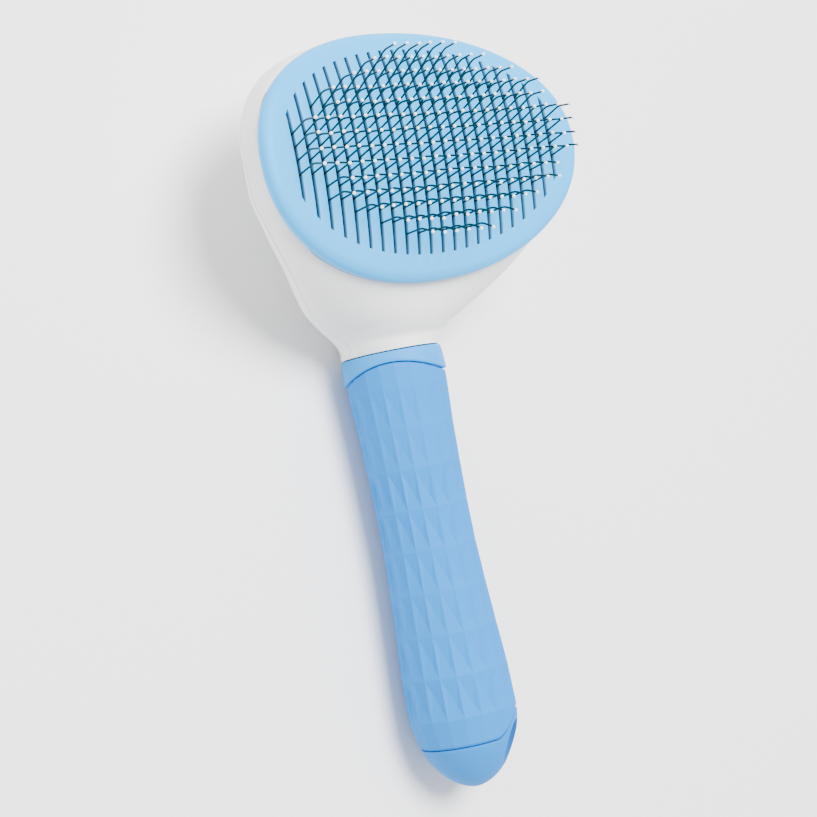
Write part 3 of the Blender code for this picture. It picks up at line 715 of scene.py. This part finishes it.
def front_housing(rows, lift):
    shell = build("front_shell", [loft([section(row, 168, lift) for row in rows])], HEAD, WHITE)
    bosses = [post(x, y, 3.4, -60.0, 10.0) for x, y in mirrored(*SHELL_SCREW)]
    bosses += [post(x, y, 3.2, -60.0, 10.0) for x, y in mirrored(*CORE_SCREW)]
    opening = superellipse(SKIRT_A + SKIRT_WALL + GAP, SKIRT_B + SKIRT_WALL + GAP, OVAL, 200, 0.0, PLATE_MID)
    carve(
        shell,
        ("DIFFERENCE", cavity(bosses)),
        ("DIFFERENCE", tool("below", seam_block(rows, SEAM_GAP / 2.0, -70.0))),
        ("DIFFERENCE", tool("opening", prism(opening, -16.0, 30.0))),
        ("DIFFERENCE", tool("seat", seat_cutter())),
    )
    smooth(shell, 35.0)
    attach(shell, "brush")
    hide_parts("front_housing")


def rear_housing(rows):
    shell = build("rear_shell", [loft([section(row, 168) for row in rows])], HEAD, WHITE)
    bosses = [
        post(x, y, 2.6, -60.0, -11.5)
        for x in (-BOARD_BOSS_X, BOARD_BOSS_X) for y in (PLATE_MID - BOARD_BOSS_Y, PLATE_MID + BOARD_BOSS_Y)
    ]
    bosses += [post(x, y, 3.4, -60.0, 10.0) for x, y in mirrored(*SHELL_SCREW)]
    bosses += [post(x, y, 3.2, -60.0, 10.0) for x, y in mirrored(*CORE_SCREW)]
    collar = superellipse(BUTTON_A + 2.3, BUTTON_B + 2.3, 2.4, 96, 0.0, BUTTON_MID)
    bosses.append(prism(collar, -60.0, CARRIAGE_BOTTOM - GAP))
    cuts = []
    for (x, y), seat, head, shank in (
        *((spot, SHELL_SEAT, 2.6, 1.5) for spot in mirrored(*SHELL_SCREW)),
        *((spot, CORE_SEAT, 2.4, 1.4) for spot in mirrored(*CORE_SCREW)),
    ):
        cuts.append(turned(((head, -60.0), (head, seat), (shank, seat), (shank, 0.0)), x, y))
    hole = superellipse(BUTTON_A + GAP, BUTTON_B + GAP, 2.4, 96, 0.0, BUTTON_MID)
    cuts.append(prism(hole, -60.0, -20.0))
    carve(
        shell,
        ("UNION", tool("spine", spine())),
        ("DIFFERENCE", cavity(bosses)),
        ("DIFFERENCE", tool("above", seam_block(rows, -SEAM_GAP / 2.0, 40.0))),
        ("DIFFERENCE", tool("holes", *cuts)),
    )
    smooth(shell, 35.0)
    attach(shell, "brush")
    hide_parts("rear_housing")


def push_button():
    def ring(inset, z, sloped):
        outline = superellipse(BUTTON_A - inset, BUTTON_B - inset, 2.4, 96, 0.0, BUTTON_MID)
        return [(x, y, z + (BUTTON_SLOPE * (y - BUTTON_MID) if sloped else 0.0)) for x, y in outline]

    face = BUTTON_FACE
    rings = [ring(BUTTON_B - 0.4, face + 1.0, True)]
    dish = ((8.0, 0.98), (6.0, 0.86), (4.2, 0.62), (2.8, 0.3), (1.9, 0.08), (1.3, 0.03), (0.8, 0.14))
    rim = ((0.42, 0.4), (0.15, 0.8), (0.03, 1.3), (0.0, 2.0))
    for inset, rise in dish + rim:
        rings.append(ring(inset, face + rise, True))
    top = CARRIAGE_BOTTOM - GAP
    rings += [ring(0.0, top, False), ring(1.8, top, False), ring(1.8, face + 3.2, True)]
    boss = turned(((3.2, face + 2.4), (3.2, top), (1.5, top), (1.5, -35.0)), 0.0, BUTTON_MID)
    made = build("thumb_button", [loft(rings), boss], HEAD, PLATE_BLUE)
    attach(made, "ejector")
    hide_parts("push_button")


def back_screw(name, node, x, y, seat, tip, head, shank):
    """A pan-head screw with a cross recess."""
    profile = (
        (head * 0.3, seat - 1.4), (head * 0.7, seat - 1.35), (head * 0.9, seat - 1.1), (head, seat - 0.6),
        (head, seat), (shank, seat), (shank, tip - 1.0), (shank * 0.4, tip),
    )
    made = build(name, [turned(profile, x, y)], HEAD, SCREW_STEEL)
    arms = []
    for wide, long in ((0.22, head * 0.6), (head * 0.6, 0.22)):
        outline = [(x - wide, y - long), (x + wide, y - long), (x + wide, y + long), (x - wide, y + long)]
        arms.append(prism(outline, seat - 2.0, seat - 0.7))
    carve(made, ("DIFFERENCE", tool("arm", arms[0])), ("DIFFERENCE", tool("arm", arms[1])))
    smooth(made)
    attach(made, "brush")
    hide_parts(node)


# ---------------------------------------------------------------- return springs
def return_spring(number, x, y):
    """A coil with closed end turns between the carriage and the board, which the button presses flat."""
    per_turn, sides = 32, 10
    span = SPRING_HIGH - SPRING_LOW - 2.0 * SPRING_WIRE
    closed = 2.0 * SPRING_WIRE
    stations = (0.0, 1.0, SPRING_TURNS - 1.0, SPRING_TURNS)
    heights = (0.0, closed, span - closed, span)
    rings = []
    for step in range(round(SPRING_TURNS * per_turn) + 1):
        turn = step / per_turn
        angle = 2.0 * math.pi * turn
        z = SPRING_LOW + SPRING_WIRE + monotone(stations, heights, turn)
        ring = []
        for side in range(sides):
            around = 2.0 * math.pi * side / sides
            radius = SPRING_RADIUS + SPRING_WIRE * math.cos(around)
            height = z + SPRING_WIRE * math.sin(around)
            ring.append((x + radius * math.cos(angle), y + radius * math.sin(angle), height))
        rings.append(ring)
    made = build(f"coil_{number}", [loft(rings)], HEAD, SCREW_STEEL, 60.0)
    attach(made, "brush")
    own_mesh(made)
    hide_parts(f"return_spring_{number}")


# ---------------------------------------------------------------- handle
def handle_ring(radius, along, count):
    ring = []
    for i in range(count):
        angle = 2.0 * math.pi * i / count
        s = along(angle) if callable(along) else along
        r = radius(s, angle) if callable(radius) else radius
        ring.append((r * math.sin(angle), -s, r * math.cos(angle)))
    return ring


def collar_edge(angle):
    return 4.9 - 1.8 * math.cos(2.0 * (angle + math.radians(42.0)))


def cap_edge(angle):
    turn = math.degrees(angle) % 360.0
    if turn >= 180.0:
        return 102.5
    return 102.5 - 6.0 * eased(min(turn, 180.0 - turn) / 45.0)


def grip_radius(s):
    if s >= DOME_START:
        part = min(1.0, (s - DOME_START) / (HANDLE_END - DOME_START))
        return DOME_RADIUS * (1.0 - part ** DOME_POWER) ** (1.0 / DOME_POWER)
    stations = (0.0, 8.0, 20.0, 46.0, 72.0, 84.0, 95.0)
    radii = (13.3, 13.1, 12.5, 12.0, 13.1, 13.9, 14.1)
    return float(monotone(stations, radii, np.array([s]))[0])


def collar_ring():
    count = 144

    def beyond(amount):
        return lambda angle: collar_edge(angle) + amount

    rings = [
        handle_ring(GRIP_BORE, 0.3, count), handle_ring(12.55, 0.3, count), handle_ring(12.85, 0.38, count),
        handle_ring(13.05, 0.6, count), handle_ring(13.15, 1.0, count), handle_ring(13.3, 2.2, count),
        handle_ring(13.5, beyond(-0.9), count), handle_ring(13.5, beyond(-0.35), count),
        handle_ring(13.36, beyond(-0.1), count), handle_ring(13.1, beyond(0.0), count),
        handle_ring(GRIP_BORE, beyond(0.0), count),
    ]
    made = build("neck_collar", [tube_wall(rings)], HANDLE, COLLAR_BLUE)
    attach(made, "brush")
    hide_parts("collar_ring")


FACETS, PARTS = 20, 3
BREAKS = (10.0, 20.4, 30.7, 41.2, 51.8, 62.6, 73.4, 84.2, 94.9)
DIMPLE = (0.28, 0.30, 0.52, 0.46, 0.40, 0.40, 0.46, 0.50)


def corner(column, s):
    """A corner of the grip's facets."""
    angle = 2.0 * math.pi * column / FACETS
    r = grip_radius(s)
    return r * math.sin(angle), -s, r * math.cos(angle)


def blend(first, second, part):
    return tuple(a + (b - a) * part for a, b in zip(first, second))


def facet_edge(edge, sink):
    """A ring of facet edges cut off along a curve, sunk below the facets."""
    ring = []
    for column in range(FACETS):
        for part in range(PARTS):
            t = part / PARTS
            s = edge(2.0 * math.pi * (column + t) / FACETS)
            x, _, z = blend(corner(column, s), corner(column + 1, s), t)
            scale = 1.0 - sink / math.hypot(x, z)
            ring.append((x * scale, -s, z * scale))
    return ring


def strip_faces(first, second, count):
    return [(first + i, first + (i + 1) % count, second + (i + 1) % count, second + i) for i in range(count)]


def facet_band(points, upper, lower, s, next_s, dimple):
    """One band of facets: each is folded inward along its diagonal, its corners staying out."""
    faces = []
    for i in range(FACETS):
        j = (i + 1) % FACETS
        first, last = corner(i, s), corner(i + 1, next_s)
        fold = len(points)
        for part in (0.3, 0.7):
            x, y, z = blend(first, last, part)
            inward = 1.0 - dimple / math.hypot(x, z)
            points.append((x * inward, y, z * inward))
        faces += [
            (upper + i, lower + i, fold), (lower + i, fold + 1, fold), (lower + i, lower + j, fold + 1),
            (upper + i, fold, upper + j), (fold, fold + 1, upper + j), (fold + 1, lower + j, upper + j),
        ]
    return faces


def handle_grip():
    fine = FACETS * PARTS

    def near_collar(amount):
        return lambda angle: collar_edge(angle) + 0.14 + amount

    def near_cap(amount):
        return lambda angle: cap_edge(angle) - 0.14 - amount

    points, faces = [], []

    def add(ring):
        points.extend(ring)
        return len(points) - len(ring)

    rings = [add(handle_ring(GRIP_BORE, near_collar(0.0), fine))]
    for amount, sink in ((0.0, 0.65), (0.1, 0.42), (0.3, 0.2), (0.55, 0.06), (0.8, 0.0)):
        rings.append(add(facet_edge(near_collar(amount), sink)))
    rings.append(add(facet_edge(lambda angle: BREAKS[0], 0.0)))
    for a, b in zip(rings, rings[1:]):
        faces += strip_faces(a, b, fine)

    corners = [add([corner(column, s) for column in range(FACETS)]) for s in BREAKS]
    for band, (a, b) in enumerate(zip(corners, corners[1:])):
        faces += facet_band(points, a, b, BREAKS[band], BREAKS[band + 1], DIMPLE[band])

    rings = [add(facet_edge(lambda angle: BREAKS[-1], 0.0))]
    for amount, sink in ((0.8, 0.0), (0.55, 0.06), (0.3, 0.2), (0.1, 0.42), (0.0, 0.65)):
        rings.append(add(facet_edge(near_cap(amount), sink)))
    rings.append(add(handle_ring(GRIP_BORE, near_cap(0.0), fine)))
    for a, b in zip(rings, rings[1:]):
        faces += strip_faces(a, b, fine)
    made = build("faceted_grip", [(points, faces)], HANDLE, GRIP_BLUE, 1.0)
    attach(made, "brush")
    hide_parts("handle_grip")


def hang_slot():
    outline = []
    for x, y in superellipse(HANG_WIDE, HANG_LONG, 2.0, 64):
        turned_x = x * math.cos(HANG_TILT) + y * math.sin(HANG_TILT)
        turned_y = y * math.cos(HANG_TILT) - x * math.sin(HANG_TILT)
        outline.append((HANG_X + turned_x, turned_y - HANG_S))
    return prism(outline, -20.0, 20.0)


def paint_hang_slot_light(cap):
    """Gives the walls of the hang slot a lighter copy of the cap's blue: painted light on the slot's inner
    walls.
    """
    cap.data.materials.append(CAP_SLOT_PAINTED_LIGHT)
    for face in cap.data.polygons:
        x = face.center.x / MM - HANDLE[0] - HANG_X
        y = face.center.y / MM - HANDLE[1] + HANG_S
        across = x * math.cos(HANG_TILT) - y * math.sin(HANG_TILT)
        along = x * math.sin(HANG_TILT) + y * math.cos(HANG_TILT)
        if math.hypot(across / HANG_WIDE, along / HANG_LONG) < 1.002:
            face.material_index = 1


def end_cap():
    count = 144

    def dome(part):
        return lambda angle: HANDLE_END - 0.02 + (cap_edge(angle) - HANDLE_END + 0.02) * part

    def edge(amount):
        return lambda angle: cap_edge(angle) + amount

    rings = []
    for k in range(26):
        part = (k / 25.0) ** 1.5
        rings.append(handle_ring(lambda s, a: grip_radius(s), dome(part * 0.93), count))
    for amount, sink in ((0.45, 0.0), (0.2, 0.06), (0.05, 0.25), (0.0, 0.6)):
        rings.append(handle_ring(lambda s, a, sink=sink: grip_radius(s) - sink, edge(amount), count))
    rings += [handle_ring(CORE_RADIUS, edge(0.0), count), handle_ring(CORE_RADIUS, CORE_END + GAP, count)]
    rings += [handle_ring(4.5, CORE_END + GAP, count), handle_ring(4.5, CORE_END - 8.0, count)]
    made = build("dome_cap", [loft(rings)], HANDLE, CAP_BLUE)
    slot = build("slot_tool", [hang_slot()], HANDLE, None, flat=True)
    carve(made, ("DIFFERENCE", slot))
    # Painted light on the hang slot's walls.
    paint_hang_slot_light(made)
    smooth(made, 35.0)
    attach(made, "brush")
    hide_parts("end_cap")


# ---------------------------------------------------------------- inner pieces left as they are
def dress_inner():
    for name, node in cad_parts.items():
        grey = name in ("pin_board", "ejector_carriage", "handle_core")
        steel = name.startswith(("board_screw", "button_screw"))
        if grey or steel:
            node.data.materials.clear()
            node.data.materials.append(INNER_GREY if grey else SCREW_STEEL)


# ---------------------------------------------------------------- stage
def floor():
    n = Nodes("studio_floor")
    n.link(n.mix(n.noise(3.0, 2.0), (0.93, 0.93, 0.93), (0.95, 0.95, 0.95)), n.shader.inputs["Base Color"])
    n.link(n.ramp(n.noise(40.0), 0.75, 0.9), n.shader.inputs["Roughness"])
    n.link(n.bump(n.noise(400.0), 0.00003, 0.4), n.shader.inputs["Normal"])
    n.shader.inputs["Specular IOR Level"].default_value = 0.2
    mesh = bpy.data.meshes.new("studio_floor")
    size = 6.0
    corners = [(-size, -size, 0), (size, -size, 0), (size, size, 0), (-size, size, 0)]
    mesh.from_pydata(corners, [], [(0, 1, 2, 3)])
    mesh.materials.append(n.material)
    made = bpy.data.objects.new("studio_floor", mesh)
    bpy.context.scene.collection.objects.link(made)


def area_light(name, location, target, size, power):
    light = bpy.data.lights.new(name, "AREA")
    light.shape = "DISK"
    light.size = size
    light.energy = power
    made = bpy.data.objects.new(name, light)
    made.location = location
    made.rotation_euler = (Vector(target) - Vector(location)).to_track_quat("-Z", "Y").to_euler()
    bpy.context.scene.collection.objects.link(made)


def studio():
    world = bpy.data.worlds.new("studio_world")
    bpy.context.scene.world = world
    world.use_nodes = True
    world.node_tree.nodes["Background"].inputs["Color"].default_value = (1.0, 1.0, 1.0, 1.0)
    world.node_tree.nodes["Background"].inputs["Strength"].default_value = 1.15
    area_light("over_light", (0.0, 0.42, 1.3), (0.0, 0.0, 0.0), 0.7, 52.0)


def camera():
    lens = bpy.data.cameras.new("photo_camera")
    lens.lens = 79.31
    lens.sensor_width = 36.0
    lens.clip_start = 0.01
    made = bpy.data.objects.new("photo_camera", lens)
    location = Vector(CAMERA_PLACE)
    aim = (Vector(CAMERA_TARGET) - location).to_track_quat("-Z", "Y").to_matrix().to_4x4()
    made.matrix_world = Matrix.Translation(location) @ aim @ Matrix.Rotation(CAMERA_ROLL, 4, "Z")
    bpy.context.scene.collection.objects.link(made)
    bpy.context.scene.camera = made


shell_rows = refine(HOUSING, 120)
front_housing(shell_rows, ledge_lift(shell_rows))
rear_housing(shell_rows)
cleaning_plate()
pin_rows()
push_button()
for number, (x, y) in enumerate(mirrored(*SHELL_SCREW), 1):
    back_screw(f"shell_fixing_{number}", f"shell_screw_{number}", x, y, SHELL_SEAT - 0.1, -18.0, 2.2, 1.2)
for number, (x, y) in enumerate(mirrored(*CORE_SCREW), 1):
    back_screw(f"core_fixing_{number}", f"core_screw_{number}", x, y, CORE_SEAT - 0.1, -20.0, 2.0, 1.1)
spring_places = [(x, y) for y in (LEG_MID + SPRING_Y, LEG_MID - SPRING_Y) for x in (SPRING_X, -SPRING_X)]
for number, (x, y) in enumerate(spring_places, 1):
    return_spring(number, x, y)
collar_ring()
handle_grip()
end_cap()
dress_inner()
floor()
studio()
camera()
